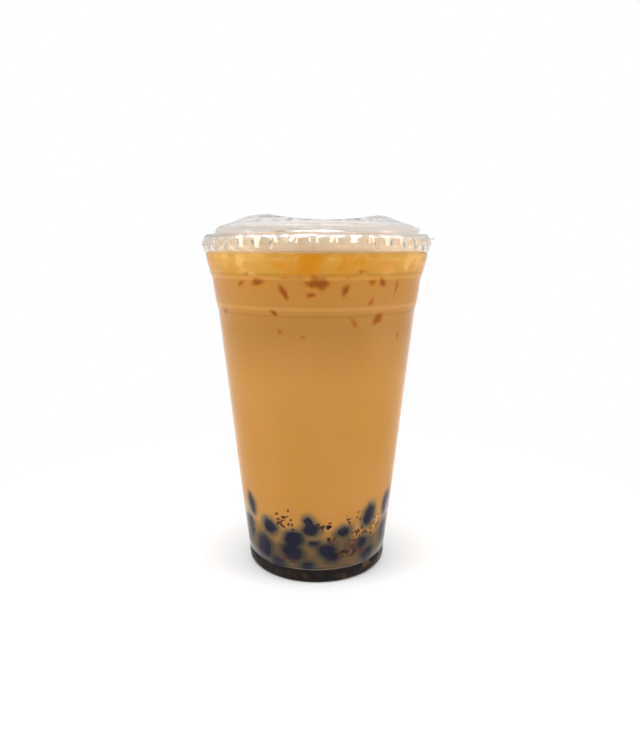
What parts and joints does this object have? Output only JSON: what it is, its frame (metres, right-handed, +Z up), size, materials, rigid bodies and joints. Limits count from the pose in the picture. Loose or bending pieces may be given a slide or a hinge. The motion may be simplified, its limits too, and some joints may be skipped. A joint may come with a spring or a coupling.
{
  "type": "cup of thai milk tea",
  "caption": "Tall clear cold cup of orange milk tea with dark tapioca pearls on its floor, closed by a clear lid pressed over its rim.",
  "frame": {"origin": "centre of the ring that the cup stands on", "axes": "+Z up along the cup's axis, +X to the right with the pull tab, -Y to the front"},
  "size_m": [0.1022, 0.1004, 0.1576],
  "materials": {
    "cup_plastic": "clear, smooth, thin formed plastic",
    "lid_plastic": "clear, smooth, thin formed plastic",
    "milk_tea": "opaque milky liquid",
    "tapioca": "wet, glossy, soft"
  },
  "bodies": {
    "root": {"cup": "cup_plastic", "lid": "lid_plastic", "tea": "milk_tea", "pearl_bed": "tapioca"}
  },
  "joints": []
}
